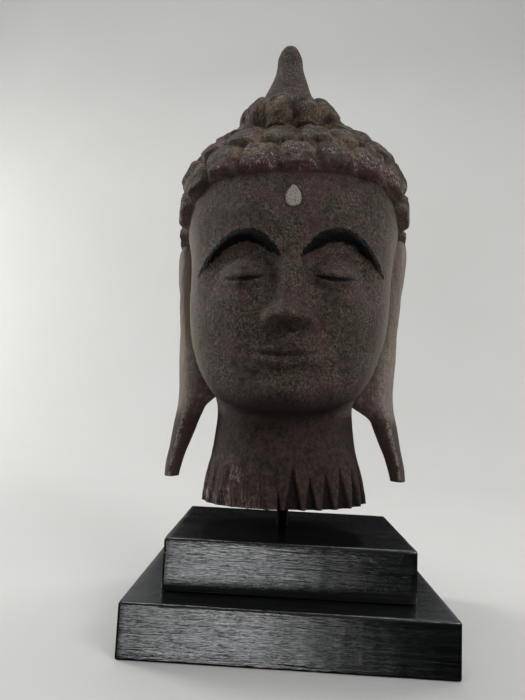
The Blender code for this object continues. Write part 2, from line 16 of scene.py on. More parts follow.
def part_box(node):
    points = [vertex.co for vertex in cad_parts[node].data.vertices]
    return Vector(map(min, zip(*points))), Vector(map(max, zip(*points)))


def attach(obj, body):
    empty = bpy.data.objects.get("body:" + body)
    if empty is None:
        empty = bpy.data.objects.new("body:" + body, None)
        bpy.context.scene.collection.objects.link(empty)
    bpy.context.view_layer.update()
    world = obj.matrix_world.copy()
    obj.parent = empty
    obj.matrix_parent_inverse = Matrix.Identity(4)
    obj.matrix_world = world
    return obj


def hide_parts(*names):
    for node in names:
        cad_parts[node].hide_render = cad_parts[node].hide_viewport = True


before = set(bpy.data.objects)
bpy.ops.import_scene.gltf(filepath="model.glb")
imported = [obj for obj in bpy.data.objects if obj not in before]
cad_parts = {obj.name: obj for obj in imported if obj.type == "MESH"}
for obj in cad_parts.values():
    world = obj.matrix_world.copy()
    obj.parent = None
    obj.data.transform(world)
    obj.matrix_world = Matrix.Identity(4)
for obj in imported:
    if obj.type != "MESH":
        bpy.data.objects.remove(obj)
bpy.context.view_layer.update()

# Place of the head on its rod
HEAD_LEAN = math.radians(-1.5)
HEAD_TURN = math.radians(-1.0)
ROD_SHOWING = 0.0155
FIT_GAP = 0.0003
BORE_SIDES = 48
CARVED_HEIGHT = 31.23
NECK_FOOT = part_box("plinth_upper")[1].z + ROD_SHOWING
ROD_LOW, ROD_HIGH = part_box("rod")
ROD_OFFSET = (ROD_LOW.x + ROD_HIGH.x) / 2
CM = (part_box("head")[1].z - NECK_FOOT) / (CARVED_HEIGHT * math.cos(HEAD_LEAN))

# Fineness of the carving
COLUMNS = 300
ROW_STEP = 0.155
FRONT_CROWDING = 0.42
EAR_COLUMNS = 52
EAR_ROWS = 130

# Rings of the head from the neck's rim to the foot of the top knot, in centimetres above the neck's
# underside and out from its axis: height and reach in front, at the side and behind, then the ring's centre
HEAD_RINGS = (
    (0.00, 3.66, 0.00, 5.08, 0.00, 4.10, 0.20),
    (1.30, 3.58, 1.30, 4.88, 1.30, 4.02, 0.20),
    (3.00, 3.42, 3.00, 4.45, 3.20, 3.95, 0.20),
    (4.70, 3.32, 5.20, 4.22, 5.60, 4.00, 0.30),
    (5.25, 3.75, 6.15, 4.36, 6.60, 4.25, 0.40),
    (5.55, 4.90, 6.85, 4.85, 7.20, 4.75, 0.60),
    (6.40, 5.55, 7.85, 5.45, 8.10, 5.55, 0.80),
    (8.40, 5.72, 9.40, 6.05, 9.60, 6.75, 1.00),
    (9.90, 5.82, 10.70, 6.32, 11.20, 7.70, 1.10),
    (11.60, 5.88, 12.20, 6.45, 12.90, 8.35, 1.20),
    (13.10, 5.86, 13.60, 6.52, 14.50, 8.72, 1.30),
    (14.60, 5.88, 15.10, 6.62, 16.20, 8.85, 1.40),
    (16.80, 5.68, 17.00, 6.95, 18.00, 8.75, 1.50),
    (18.90, 5.02, 18.90, 7.08, 19.80, 8.35, 1.55),
    (20.30, 4.20, 20.40, 6.92, 21.20, 7.70, 1.60),
    (21.60, 3.15, 21.70, 6.32, 22.40, 6.75, 1.70),
    (22.60, 2.10, 22.90, 5.42, 23.40, 5.75, 1.75),
    (23.40, 1.30, 23.90, 4.08, 24.10, 5.05, 1.80),
)

# Rings of the top knot and the spire: height and radius, about the knot's own axis
KNOT_CENTRE = 1.8
KNOT_RINGS = (
    (24.60, 3.20),
    (25.40, 2.92),
    (26.10, 2.30),
    (26.80, 1.88),
    (27.40, 1.62),
    (28.00, 1.38),
    (28.70, 1.13),
    (29.40, 0.95),
    (30.20, 0.85),
    (30.75, 0.66),
    (31.10, 0.42),
)
KNOT_FOOT = len(HEAD_RINGS)
CREASE = KNOT_FOOT - 0.65
CURLS_END = KNOT_FOOT + 1.9
SQUARENESS = 0.035

# How far each height sits to one side of the axis, every SHIFT_STEP centimetres from the neck's underside
SHIFT_STEP = 1.5
LOWER_SHIFTS = (0, 0, 0, 0, 0, 0.03, 0.07, 0.12, 0.17, 0.23, 0.30)
UPPER_SHIFTS = (0.33, 0.34, 0.36, 0.38, 0.42, 0.34, 0.02, -0.08, 0, 0, 0, 0)

# Hair: the hairline's height at angles from the front, then the curls
HAIRLINE = (
    (0, 18.75),
    (25, 18.85),
    (45, 18.6),
    (55, 18.0),
    (62, 17.3),
    (78, 16.3),
    (100, 13.0),
    (125, 10.0),
    (150, 8.4),
    (180, 8.0),
)
HAIR_RISE = 0.36
HAIR_EDGE = 0.34
CURL_WIDTH = 2.20
CURL_ROW = 2.75
CROWN_ROW = 2.15
CURL_CLEARANCE = 1.58
KNOT_CURL_WIDTH = 1.72
KNOT_CURL_ROW = 2.40
CURL_SQUARING = 1.35
CURL_RELIEF = 0.36
CURL_SHOULDER = 0.20
CURL_TIP_OUT = 0.10
HAIRLINE_ROWS = 2
CURL_JITTER = 0.10
SEED = 7

# Notches round the neck's lower edge
NECK_TOP = 5.6
NOTCH_PITCH = 1.04
FIRST_NOTCH = 0.58
NOTCH_HALF_WIDTH = 0.45
NOTCH_HEIGHT = 2.1
NOTCH_DEPTH = 0.38
NOTCH_FLATNESS = 2.4
HEIGHT_SPREAD = (0.75, 1.3)
WIDTH_SPREAD = (0.8, 1.2)
SHALLOW_SIDE = 0.40

# The face, on even thirds from chin to hairline, five eye widths across
CHIN = 5.5
FOREHEAD_TOP = 18.7
FACE_WIDTH = 12.7
THIRD = (FOREHEAD_TOP - CHIN) / 3
NOSE_BASE = CHIN + THIRD
BROW_LINE = CHIN + 2 * THIRD
EYE_LINE = BROW_LINE - 0.3 * THIRD
MOUTH_LINE = NOSE_BASE - THIRD / 3
EYE_WIDTH = FACE_WIDTH / 5
MOUTH_HALF_WIDTH = 0.75 * EYE_WIDTH
BROW_START = 0.55
BROW_END = 5.50
BROW_ARCH = 1.55
SOCKET_DEPTH = 0.50
EYE_RISE = 0.58
BRIDGE_RISE = 0.40
NOSE_RISE = 0.84
TIP_RISE = 0.32
UPPER_LIP_RISE = 0.30
LOWER_LIP_RISE = 0.37

# Mounds and hollows of the face: how far out, how far from the middle and how wide, how high and how tall
FACE_MOUNDS = {
    "nose wings": (0.66, 1.06, 0.42, NOSE_BASE + 0.46, 0.46),
    "wing creases": (-0.12, 1.66, 0.22, NOSE_BASE + 0.50, 0.60),
    "nostrils": (-0.16, 0.52, 0.26, NOSE_BASE + 0.02, 0.18),
    "groove above the lips": (-0.07, 0.0, 0.22, NOSE_BASE - 0.72, 0.40),
    "mouth": (0.34, 0.0, 2.2, MOUTH_LINE, 1.35),
    "mouth corners": (-0.09, MOUTH_HALF_WIDTH, 0.26, MOUTH_LINE + 0.1, 0.32),
    "hollow under the lips": (-0.18, 0.0, 1.7, MOUTH_LINE - 1.05, 0.32),
    "chin": (0.45, 0.0, 1.45, CHIN + 1.10, 0.85),
    "cheeks": (0.26, 3.4, 1.7, NOSE_BASE + 1.0, 1.9),
}

# The painted stroke along each brow
BROW_HALF_THICKNESS = 0.30

# Sections of an ear from the lobe's tip to the top, in centimetres: height, centre out from the axis,
# centre behind the axis, half thickness, half depth and how round the section is
EAR_SECTIONS = (
    (1.22, 7.12, 0.45, 0.46, 0.64, 1.5),
    (2.50, 6.90, 0.45, 0.58, 0.82, 1.4),
    (4.50, 6.40, 0.50, 0.82, 1.02, 1.4),
    (6.00, 6.04, 0.65, 0.96, 1.20, 1.5),
    (7.50, 6.20, 0.85, 0.80, 1.38, 1.8),
    (9.50, 6.50, 1.05, 0.64, 1.58, 2.0),
    (12.00, 6.82, 1.20, 0.58, 1.80, 2.2),
    (14.00, 7.04, 1.30, 0.55, 1.85, 2.2),
    (15.40, 7.10, 1.25, 0.50, 1.50, 2.2),
    (16.00, 7.04, 1.15, 0.36, 0.95, 2.0),
)
EAR_FLARE = 0.14
EAR_HOLLOW = 0.30
EAR_ROOT = 1.3
ROOT_BLEND = 1.5
BOWL_MIDDLE = 12.2
BOWL_HALF_HEIGHT = 3.1
BOWL_WIDTH = 0.78
RIDGE_SHARE = 0.6
CHANNEL_SHARE = 0.45
LOBE_FROM = 1.8
LOBE_TO = 9.0

# Each ear's side of the axis, how much higher its top is, and where it starts to join the jaw
EARS = (
    (1, 0.75, 4.8),
    (-1, 0.15, 5.5),
)
NICKED_SIDE = 1
NICK_SIZE = 0.36
NICK_DEPTH = 0.09

# The pale drop in the forehead
DROP_HEIGHT_ON_HEAD = 17.25
DROP_WIDTH = 0.86
DROP_HEIGHT = 1.38
DROP_SUNK = 0.28
DROP_PROUD = 0.07
DROP_DOME = 0.10
DROP_POINTS = 64
DROP_RINGS = 9
RECESS_OUT = 1.0

# Hand-made unevenness: size of its lumps and how far they stand out, in centimetres
WAVES = 1.7
WAVE_DEPTH = 0.035
TOOL_MARKS = 0.42
TOOL_DEPTH = 0.020
HAIR_DENT_DEPTH = 0.075

# The stand's blocks
EDGE_ROUND = 0.0014
EDGE_SEGMENTS = 3
BLOCK_CELL = 0.004
EDGE_WEAR = 0.0003

# The soft room. A side is a direction and the range over which the way looked at turns towards it
SKY_COLOUR = (0.96, 0.98, 1.0)
SKY_STRENGTH = 0.18
WALL_STRENGTH = 0.40
WALL_SIDE = ((0.0, 1.0, 0.0), 0.2, 0.6)
LOWER_SIDE = ((0.0, 0.0, -1.0), -0.02, 0.05)

# Dark places that the stand's tops mirror
DARK_STRENGTH = 0.008
DARK_SPOT = ((0.0, 0.978, 0.208), 0.93, 0.96)
DARK_SPOT_SIDE = ((-1.0, 0.0, 0.0), 0.17, 0.22)

# A window below the floor that the stand's fronts mirror, and the sides that bound it
WINDOW_STRENGTH = 7.8
WINDOW_BACK = ((0.0, 1.0, 0.0), -0.2, 0.2)
WINDOW_SIDES = (
    ((-0.95, 0.0, -0.30), 0.03, 0.15),
    ((0.6, 0.0, 0.8), -0.50, -0.33),
    ((0.0, 0.0, -1.0), 0.14, 0.34),
    ((0.0, 0.0, -1.0), 0.60, 0.46),
)

# Lamps: place, the point that each shines at, power, width and height
MIDDLE = (0.0, 0.0, 0.2)
LAMPS = {
    "overhead": ((-0.1, 0.2, 1.3), MIDDLE, 5.5, 1.0, 0.8),
    "left": ((-1.6, 0.55, 0.62), MIDDLE, 19.5, 0.5, 0.6),
    "right": ((1.4, 0.7, 0.6), MIDDLE, 6.0, 0.5, 0.8),
    "front": ((0.8, -0.9, 0.95), (0.0, -0.2, 0.0), 6.6, 0.6, 0.4),
    "backdrop": ((0.0, -0.3, 1.7), (0.0, 1.1, 0.8), 5.0, 1.4, 0.5),
}

# The floor's profile: where it starts, where it bends up, where it is upright, its top and its width
FLOOR_NEAR = -1.6
FLOOR_BEND = 0.55
FLOOR_FAR = 1.15
FLOOR_TOP = 2.2
FLOOR_WIDTH = 4.0
FLOOR_PARTS = 16

# The photograph's camera
IMAGE_HEIGHT = 700
FOCAL_PIXELS = 530
CAMERA_PLACE = (-0.009382, -0.336622, 0.128398)
CAMERA_TILT = (math.radians(5.9481), math.radians(-2.688), math.radians(1.7114))
SENSOR = 36


# Curves, steps and noise


def bell(t):
    return np.exp(-np.square(t))


def step(low, high, t):
    share = np.clip((t - low) / (high - low), 0, 1)
    return share * share * (3 - 2 * share)


def along(values, t):
    """A smooth curve through the values of the rings, read at ring number t."""
    values = np.asarray(values, float)
    first = np.clip(np.floor(t).astype(int), 0, len(values) - 2)
    share = t - first
    a = values[np.maximum(first - 1, 0)]
    b = values[first]
    c = values[first + 1]
    d = values[np.minimum(first + 2, len(values) - 1)]
    bend = (2 * a - 5 * b + 4 * c - d) * share + (3 * b - a - 3 * c + d) * share**2
    return b + 0.5 * share * (c - a + bend)


def scattered(cells, seed):
    """A number from -1 to 1 for each cell of a lattice, the same in every run."""
    mixed = cells @ np.array([73856093, 19349663, 83492791]) + seed * 104729
    mixed = ((mixed ^ (mixed >> 13)) * 1274126177) & 0x7FFFFFFF
    return (mixed ^ (mixed >> 16)) % 20001 / 10000 - 1


def noise(points, size, seed=SEED):
    """Smooth noise from -1 to 1, with lumps of about that size."""
    places = points / size
    cells = np.floor(places).astype(np.int64)
    share = places - cells
    share = share * share * (3 - 2 * share)
    total = np.zeros(points.shape[:-1])
    for corner in np.ndindex(2, 2, 2):
        weight = np.prod(np.where(corner, share, 1 - share), axis=-1)
        total += weight * scattered(cells + np.array(corner), seed)
    return total


# The bare form of the head


def sway(height):
    """How far the head sits to one side of the axis at a height."""
    return along(LOWER_SHIFTS + UPPER_SHIFTS, height / SHIFT_STEP)


def ring_table():
    """All rings as columns: the head's own, then the knot's round rings in the same terms."""
    rows = list(HEAD_RINGS)
    for height, radius in KNOT_RINGS:
        front, back = radius - KNOT_CENTRE, radius + KNOT_CENTRE
        rows.append((height, front, height, radius, height, back, KNOT_CENTRE))
    return np.array(rows).T


def bare_form(t, angle):
    """Points of the head without hair or face, for ring numbers t and angles from the front."""
    table = ring_table()
    front_h, front, side_h, side, back_h, back, centre = (along(column, t) for column in table)
    ahead, across = np.cos(angle), np.sin(angle)
    to_front, to_back = np.clip(ahead, 0, 1) ** 2, np.clip(ahead, -1, 0) ** 2
    height = front_h * to_front + side_h * across**2 + back_h * to_back
    depth = np.where(ahead > 0, front + centre, back - centre)
    square = 1 + SQUARENESS * np.sin(2 * angle) ** 2 * (1 - step(KNOT_FOOT - 3, KNOT_FOOT, t))
    x = side * across * square + sway(height)
    y = centre - depth * ahead * square
    return np.stack(np.broadcast_arrays(x, y, height), axis=-1)


def ring_numbers():
    """Ring numbers of the rows, spaced so that a row is about ROW_STEP high where it is highest."""
    count = len(HEAD_RINGS) + len(KNOT_RINGS)
    numbers = []
    for ring in range(count - 1):
        ends = bare_form(np.array([[ring], [ring + 1.0]]), np.array([[0, math.pi / 2, math.pi]]))
        longest = np.linalg.norm(ends[1] - ends[0], axis=-1).max()
        parts = math.ceil(longest / ROW_STEP)
        numbers += [ring + part / parts for part in range(parts)]
    return np.array(numbers + [count - 1.0])


def column_angles():
    """Angles of the columns, closer together over the face."""
    even = np.linspace(-math.pi, math.pi, COLUMNS, endpoint=False)
    return even - FRONT_CROWDING * np.sin(even)


def arc_lengths(points):
    """Length along each column, from its first row up."""
    steps = np.linalg.norm(np.diff(points, axis=0), axis=-1)
    return np.concatenate([np.zeros((1, points.shape[1])), np.cumsum(steps, axis=0)])


def outward(points):
    """The surface's outward direction at each point of the grid."""
    up = np.gradient(points, axis=0)
    round_ = np.roll(points, -1, axis=1) - np.roll(points, 1, axis=1)
    normal = np.cross(round_, up)
    return normal / np.maximum(np.linalg.norm(normal, axis=-1, keepdims=True), 1e-9)


# Hair


def hairline_height(angle):
    degrees, heights = np.array(HAIRLINE, float).T
    return np.interp(np.degrees(np.abs(angle)), degrees, heights)


def lengths_at_hairline(points, lengths, angles):
    """Each column's length up to the hairline."""
    heights = hairline_height(angles)
    return np.array([np.interp(heights[i], points[:, i, 2], lengths[:, i]) for i in range(len(angles))])


def loop_at(points, lengths, targets):
    """The closed line across the columns at the given length up each of them."""
    line = np.empty((points.shape[1], 3))
    for i in range(points.shape[1]):
        for axis in range(3):
            line[i, axis] = np.interp(targets[i], lengths[:, i], points[:, i, axis])
    return line


def spread(line, spacing, shift):
    """Points at even distances along a closed line, shifted by that share of one from its front."""
    closed = np.vstack([line, line[:1]])
    along_line = np.concatenate([[0], np.cumsum(np.linalg.norm(np.diff(closed, axis=0), axis=1))])
    count = max(3, round(along_line[-1] / spacing))
    places = ((np.arange(count) + shift) / count + 0.5) % 1 * along_line[-1]
    return np.stack([np.interp(places, along_line, closed[:, axis]) for axis in range(3)], axis=1)


def curl_centres():
    """Rows of curls that follow the hairline, rings of curls round the top knot, and the knot's own."""
    angles = np.linspace(-math.pi, math.pi, 360, endpoint=False)
    t = np.linspace(0, CURLS_END, 600)[:, None]
    points = bare_form(t, angles[None, :])
    lengths = arc_lengths(points)
    hairline = lengths_at_hairline(points, lengths, angles)
    foot = np.array([np.interp(CREASE, t[:, 0], lengths[:, i]) for i in range(len(angles))])
    end = lengths[-1]
    centres = []
    for row in range(HAIRLINE_ROWS):
        targets = np.minimum(hairline + (row + 0.5) * CURL_ROW, foot - CURL_ROW / 2)
        line = loop_at(points, lengths, targets)
        centres += list(spread(line, CURL_WIDTH, 0.5 * (row % 2)))
    ring = 0
    while (ring + 0.5) * CROWN_ROW < (foot - hairline).max():
        targets = foot - (ring + 0.5) * CROWN_ROW
        inside = targets > hairline + HAIRLINE_ROWS * CURL_ROW
        line = loop_at(points, lengths, targets)
        for place in spread(line, CURL_WIDTH, 0.5 * (ring % 2)):
            nearest = np.linalg.norm(line - place, axis=1).argmin()
            clear = np.linalg.norm(np.array(centres) - place, axis=1).min()
            if inside[nearest] and clear > CURL_CLEARANCE:
                centres.append(place)
        ring += 1
    rows = round((end - foot).mean() / KNOT_CURL_ROW)
    for row in range(rows):
        line = loop_at(points, lengths, foot + (end - foot) * (row + 0.5) / rows)
        centres += list(spread(line, KNOT_CURL_WIDTH, 0.5 * ((row + 1) % 2)))
    centres = np.array(centres)
    return centres + np.random.default_rng(SEED).normal(0, CURL_JITTER / 2, centres.shape)


def hair_relief(points, above_hairline, below_end):
    """How far the hair stands out, and the distance from the gaps between its curls."""
    squaring = np.array([1, 1, CURL_SQUARING])
    centres = curl_centres() * squaring
    flat = points.reshape(-1, 3) * squaring
    squares = np.square(flat).sum(1)[:, None] + np.square(centres).sum(1) - 2 * flat @ centres.T
    distances = np.sqrt(np.maximum(squares, 0))
    nearest = distances.argmin(1)
    two = np.partition(distances, 1, axis=1)[:, :2]
    shape = points.shape[:2]
    border = ((two[:, 1] - two[:, 0]) / 2).reshape(shape)
    border = np.minimum(border, np.minimum(above_hairline, below_end))
    bigger = np.random.default_rng(SEED + 1).uniform(0.85, 1.15, len(centres))[nearest].reshape(shape)
    under = (centres[nearest, 2] - flat[:, 2]).reshape(shape)
    knob = bigger * (1 - bell(np.maximum(border, 0) / CURL_SHOULDER)) * (1 + CURL_TIP_OUT * under)
    inside = step(0, HAIR_EDGE, above_hairline) * step(0, HAIR_EDGE, below_end)
    dents = HAIR_DENT_DEPTH * noise(points, TOOL_MARKS, SEED + 3) * step(0, 0.3, border)
    relief = inside * (HAIR_RISE + CURL_RELIEF * (knob - 0.5) + dents)
    return relief * (above_hairline > 0) * (below_end > 0), np.maximum(border, 0)


# Face


def brow_height(side):
    """Height of the brow's arch at a distance from the face's middle line."""
    share = np.clip((side - BROW_START) / (BROW_END - BROW_START), 0, 1)
    return BROW_LINE - 0.5 + BROW_ARCH * np.sin(math.pi * share**0.92) - 0.5 * share


def brow_stroke(x, height):
    """How far a point is inside the painted stroke along the brow, in centimetres."""
    side = np.abs(x)
    share = np.clip((side - BROW_START) / (BROW_END - BROW_START), 0, 1)
    half = BROW_HALF_THICKNESS * (4 * share * (1 - share)) ** 0.55 * (1.15 - 0.3 * share)
    slope = np.gradient(brow_height(np.linspace(0, 7, 141)), 0.05)
    lean = np.hypot(1, np.interp(side, np.linspace(0, 7, 141), slope))
    inside = half - np.abs(height - brow_height(side)) / lean
    ends = np.minimum(side - BROW_START, BROW_END - side)
    return np.minimum(inside, ends)


def eye_slit(side):
    """Height of the line between the lids, and how far it is open, at a distance from the middle line."""
    across = np.clip(1 - ((side - EYE_WIDTH) / EYE_WIDTH * 1.9) ** 2, 0, 1)
    return EYE_LINE - 0.10 - 0.36 * across, across**0.5


def face_relief(x, height):
    """How far the features stand out of the plain front, in centimetres."""
    side = np.abs(x)
    from_eye = side - EYE_WIDTH
    under_brow = brow_height(side) - height
    # Sockets that fall away under an arched edge
    wide = step(0.5, 1.4, side) * (1 - step(4.0, 5.6, side))
    relief = -SOCKET_DEPTH * wide * step(-0.10, 0.60, under_brow) * (1 - step(1.2, 3.6, under_brow))
    relief += 0.12 * wide * bell(under_brow / 0.36)
    # Lowered lids over a round eye, with a crease above and a narrow slit
    reach = np.hypot(from_eye / 1.55, (height - EYE_LINE) / 1.00)
    relief += EYE_RISE * np.clip(1 - reach**2, 0, 1) ** 1.2
    relief -= 0.06 * bell((reach - 1.04) / 0.10) * step(0, 0.5, height - EYE_LINE)
    slit, opened = eye_slit(side)
    relief -= 0.15 * opened * bell((height - slit) / 0.12)
    relief += 0.09 * opened * bell((height - slit - 0.22) / 0.16)
    relief += 0.05 * opened * bell((height - slit + 0.22) / 0.14)
    # Nose: a bridge that widens and rises downwards, and its tip
    down = np.clip((BROW_LINE + 0.1 - height) / (BROW_LINE + 0.1 - NOSE_BASE), 0, 1.2)
    width = 0.56 + 0.38 * down
    under = step(-0.12, 0.42, height - NOSE_BASE)
    bridge = (BRIDGE_RISE + NOSE_RISE * down**1.25) * np.exp(-((side / width) ** 2.8))
    relief += bridge * under * step(0, 0.3, down)
    relief += TIP_RISE * bell(x / 0.64) * bell((height - NOSE_BASE - 0.60) / 0.52) * under
    # Two lips and the line between them
    outer = np.clip(side / MOUTH_HALF_WIDTH, 0, 1) ** 2
    taper = (1 - outer) ** 0.8
    line = MOUTH_LINE + 0.14 * outer - 0.04 * bell(side / 0.35)
    upper = 0.26 + 0.05 * bell((side - 0.45) / 0.30) - 0.14 * outer
    lower = 0.40 - 0.22 * outer
    relief += UPPER_LIP_RISE * taper * bell((height - line - upper) / 0.22)
    relief += LOWER_LIP_RISE * taper * bell((height - line + lower) / 0.29)
    relief -= 0.20 * taper**0.6 * bell((height - line) / 0.10)
    for out, at, spread_out, level, tall in FACE_MOUNDS.values():
        relief += out * bell((side - at) / spread_out) * bell((height - level) / tall)
    return relief


# Neck


def notch_relief(points, angles):
    """V-shaped notches that widen towards the neck's underside, shallower on one side."""
    rim = bare_form(np.zeros((1, 1)), np.linspace(-math.pi, math.pi, 721)[None, :])[0]
    lengths = np.concatenate([[0], np.cumsum(np.linalg.norm(np.diff(rim, axis=0), axis=1))])
    start = np.interp(FIRST_NOTCH, rim[180:541, 0], lengths[180:541])
    count = round(lengths[-1] / NOTCH_PITCH)
    pitch = lengths[-1] / count
    round_rim = np.interp(angles, np.linspace(-math.pi, math.pi, 721), lengths) - start
    number = np.round(round_rim / pitch).astype(int)
    offset = np.abs(round_rim - number * pitch)
    draw = np.random.default_rng(SEED + 2)
    top = NOTCH_HEIGHT * draw.uniform(*HEIGHT_SPREAD, count)[number % count]
    wide = NOTCH_HALF_WIDTH * draw.uniform(*WIDTH_SPREAD, count)[number % count]
    deep = NOTCH_DEPTH * np.where(np.sin(angles) < -0.05, SHALLOW_SIDE, 1.0)
    left = np.clip(1 - points[..., 2] / top, 0, 1)
    flat = np.clip(NOTCH_FLATNESS * (1 - offset / np.maximum(wide * left, 1e-6)), 0, 1)
    return -deep * left**0.7 * flat


def carved_grid():
    """The head's points, row by row from the neck's rim to the last ring, and what its finish reads."""
    t = ring_numbers()
    angles = column_angles()
    points = bare_form(t[:, None], angles[None, :])
    lengths = arc_lengths(points)
    above_hairline = lengths - lengths_at_hairline(points, lengths, angles)
    end = np.array([np.interp(CURLS_END, t, lengths[:, i]) for i in range(len(angles))])
    hair, border = hair_relief(points, above_hairline, end - lengths)
    front = step(0.05, 0.45, np.cos(angles)) * (t[:, None] > 3)
    bare = 1 - step(0, 0.3, above_hairline)
    x, height = points[..., 0] - sway(points[..., 2]), points[..., 2]
    face = face_relief(x, height) * front * bare
    notches = notch_relief(points, angles)
    tooled = TOOL_DEPTH * (1 - 0.6 * front * bare)
    waves = WAVE_DEPTH * noise(points, WAVES) + tooled * noise(points, TOOL_MARKS, SEED + 4)
    slit, wide = eye_slit(np.abs(x))
    in_hair = (above_hairline > 0) & (t[:, None] < CURLS_END)
    facing = outward(points)
    moved = points + facing * (hair + notches + waves)[..., None]
    moved[..., 1] -= face
    marks = {
        "hairline": np.where(t[:, None] < CURLS_END, above_hairline, -9.0),
        "gap": np.where(in_hair, border, 1.0),
        "brow": np.where(front * bare > 0.5, brow_stroke(x, height), -1.0),
        # painted shade: a dark line in the slit between the lids
        "lid": wide * bell((height - slit) / 0.14) * (front * bare > 0.5),
        # lacquer in the notches, darkened with their depth as painted shade
        "notch": np.where(np.sin(angles) < -0.05, 0.1, 1.0) * -notches / NOTCH_DEPTH,
        # the sides, where the pale fibres are real grain and also painted side light
        "side": (1 - step(0.15, 0.75, np.cos(angles))) * (t[:, None] > 3) * bare,
        # painted shade: darker on faces that look down and round the neck's top
        "under": np.clip(-1.6 * outward(moved)[..., 2] - 0.2, 0, 1) + bell((height - 5.0) / 1.3),
        "ear": np.zeros_like(height),
        "facet": np.zeros_like(height),
    }
    return moved, marks


def sphere_rows(bm, rows):
    """Row and column number of each vertex of a round sphere of that many rows."""
    places = []
    for vert in bm.verts:
        row = round(rows * math.acos(max(-1.0, min(1.0, -vert.co.z))) / math.pi)
        column = round(COLUMNS * math.atan2(vert.co.x, -vert.co.y) / (2 * math.pi)) % COLUMNS
        places.append((row, column))
    return places


def mesh_of(name, bm):
    bmesh.ops.recalc_face_normals(bm, faces=bm.faces)
    mesh = bpy.data.meshes.new(name)
    bm.to_mesh(mesh)
    bm.free()
    return mesh


def head_form(grid):
    """A sphere whose rows are moved onto the carving: the lower pole is the underside's middle."""
    rows = len(grid) + 1
    bm = bmesh.new()
    bmesh.ops.create_uvsphere(bm, u_segments=COLUMNS, v_segments=rows, radius=1.0)
    places = sphere_rows(bm, rows)
    half = COLUMNS // 2
    for vert, (row, column) in zip(bm.verts, places):
        if row == 0:
            vert.co = (0, HEAD_RINGS[0][-1], 0)
        elif row == rows:
            vert.co = (0, KNOT_CENTRE, CARVED_HEIGHT)
        else:
            vert.co = grid[row - 1, (column + half) % COLUMNS]
    return mesh_of("carved_head", bm)


# Ears


def ear_hollow(across, outer, height):
    """From 0 to 1 the hollow inside the rim, with a ridge down its middle, and the channel down the lobe."""
    up = (height - BOWL_MIDDLE) / BOWL_HALF_HEIGHT
    bowl = 1 - step(0.55, 1.0, np.hypot(across / BOWL_WIDTH, up))
    ridge = RIDGE_SHARE * bell((across - 0.15) / 0.22) * bell((up + 0.2) / 0.6)
    channel = CHANNEL_SHARE * bell(across / 0.35)
    channel = channel * step(LOBE_FROM, LOBE_FROM + 1.4, height) * (1 - step(LOBE_TO - 2.5, LOBE_TO, height))
    return step(0.2, 0.7, outer) * (bowl * (1 - ridge) + channel)


def ear_grid(side, rise, root):
    """An ear's points, section by section from the lobe's tip up, and what its finish reads."""
    table = np.array(EAR_SECTIONS).T
    t = np.linspace(0, len(EAR_SECTIONS) - 1, EAR_ROWS)[:, None]
    height, out, behind, thick, deep, roundness = (along(column, t) for column in table)
    angle = np.linspace(0, 2 * math.pi, EAR_COLUMNS, endpoint=False)[None, :]
    outer, rear = np.cos(angle), np.sin(angle)
    rooted = 1 + EAR_ROOT * step(root, root + ROOT_BLEND, height) * step(0, 0.3, -outer)
    x = rooted * thick * np.sign(outer) * np.abs(outer) ** (2 / roundness)
    y = deep * np.sign(rear) * np.abs(rear) ** (2 / roundness)
    x += EAR_FLARE * y * step(6, 9, height)
    hollow = ear_hollow(y / deep, outer, height)
    x -= EAR_HOLLOW * hollow
    points = np.stack(np.broadcast_arrays(out + x, behind + y, height), axis=-1)
    points += WAVE_DEPTH * noise(points, WAVES / 2, SEED + 5)[..., None] * np.array([1.0, 1.0, 0.0])
    edge = step(0.75, 0.98, outer) * step(LOBE_FROM, LOBE_TO, height) * (side == NICKED_SIDE)
    nicks = edge * bell(rear / 0.3) * step(0.25, 0.8, noise(points, NICK_SIZE, SEED + 9))
    points[..., 0] -= NICK_DEPTH * nicks
    points[..., 2] += rise * step(BOWL_MIDDLE, EAR_SECTIONS[-1][0], height)
    points[..., 0] = side * points[..., 0] + sway(points[..., 2])
    flat = np.ones(points.shape[:2])
    in_front = np.clip(-4 * rear, 0, 1)
    marks = {
        "hairline": -9.0 * flat,
        "gap": flat,
        "brow": -flat,
        "lid": 0 * flat,
        # painted shade: the nicks darken a little with their depth
        "notch": 0.12 * nicks,
        # the whole ear takes the pale fibres, partly as painted side light
        "side": flat,
        # painted shade in the ear's hollow
        "under": hollow * flat,
        "ear": flat,
        "facet": (1 + in_front * (outer - 1)) * flat,
    }
    return points, marks


def ears_form(grids):
    """Both ears as closed lofts."""
    bm = bmesh.new()
    for grid in grids:
        loops = []
        for section in grid:
            verts = [bm.verts.new(place) for place in section]
            edges = [bm.edges.new((verts[i - 1], verts[i])) for i in range(EAR_COLUMNS)]
            loops.append((verts, edges))
        for (_, lower), (_, upper) in zip(loops, loops[1:]):
            bmesh.ops.bridge_loops(bm, edges=lower + upper)
        bm.faces.new(loops[0][0])
        bm.faces.new(loops[-1][0])
    return mesh_of("ears", bm)


def head_place():
    """From centimetres on the head to its place on the rod."""
    turned = Euler((0, HEAD_LEAN, HEAD_TURN)).to_matrix().to_4x4()
    return Matrix.Translation((ROD_OFFSET, 0, NECK_FOOT)) @ turned @ Matrix.Scale(CM, 4)


# Pieces


def add_object(name, data):
    made = bpy.data.objects.new(name, data)
    bpy.context.scene.collection.objects.link(made)
    return made


def add_piece(name, mesh, node):
    """A piece of the dressed part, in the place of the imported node."""
    made = add_object(name, mesh)
    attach(made, "root")
    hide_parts(node)


